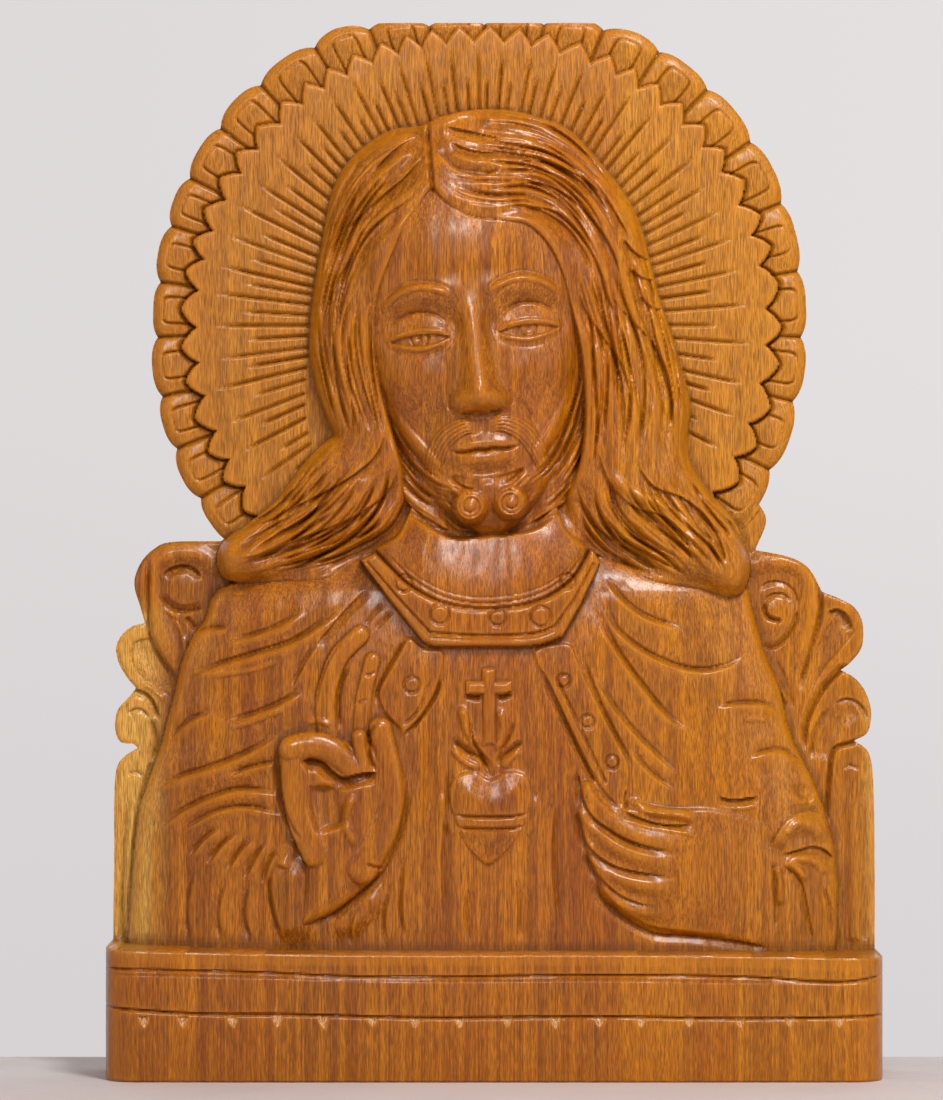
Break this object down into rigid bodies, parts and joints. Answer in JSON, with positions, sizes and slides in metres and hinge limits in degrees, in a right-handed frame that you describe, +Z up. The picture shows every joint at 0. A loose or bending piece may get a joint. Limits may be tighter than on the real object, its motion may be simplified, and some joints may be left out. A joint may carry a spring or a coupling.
{
  "type": "carved wood relief panel",
  "caption": "Free-standing carved relief panel: robed figure before a rayed disc and scalloped rim, side scrolls and a grooved plinth, on a blank glued up from upright staves.",
  "frame": {"origin": "centre of the panel's bounding box in plan, at the foot of the plinth", "axes": "+Z up along the grain, +X to the viewer's right, front towards -Y, flat back towards +Y"},
  "size_m": [0.223, 0.045, 0.3047],
  "materials": {
    "stave_left_outer": "polished carved teak, red-brown with pale sapwood at its outer edge",
    "stave_left_inner": "polished carved teak, red-brown",
    "stave_centre": "polished carved teak, warm brown",
    "stave_right_inner": "polished carved teak, golden brown",
    "stave_right_outer": "polished carved teak, golden brown"
  },
  "bodies": {
    "root": {"stave_left_outer": "stave_left_outer", "stave_left_inner": "stave_left_inner", "stave_centre": "stave_centre", "stave_right_inner": "stave_right_inner", "stave_right_outer": "stave_right_outer"}
  },
  "joints": []
}
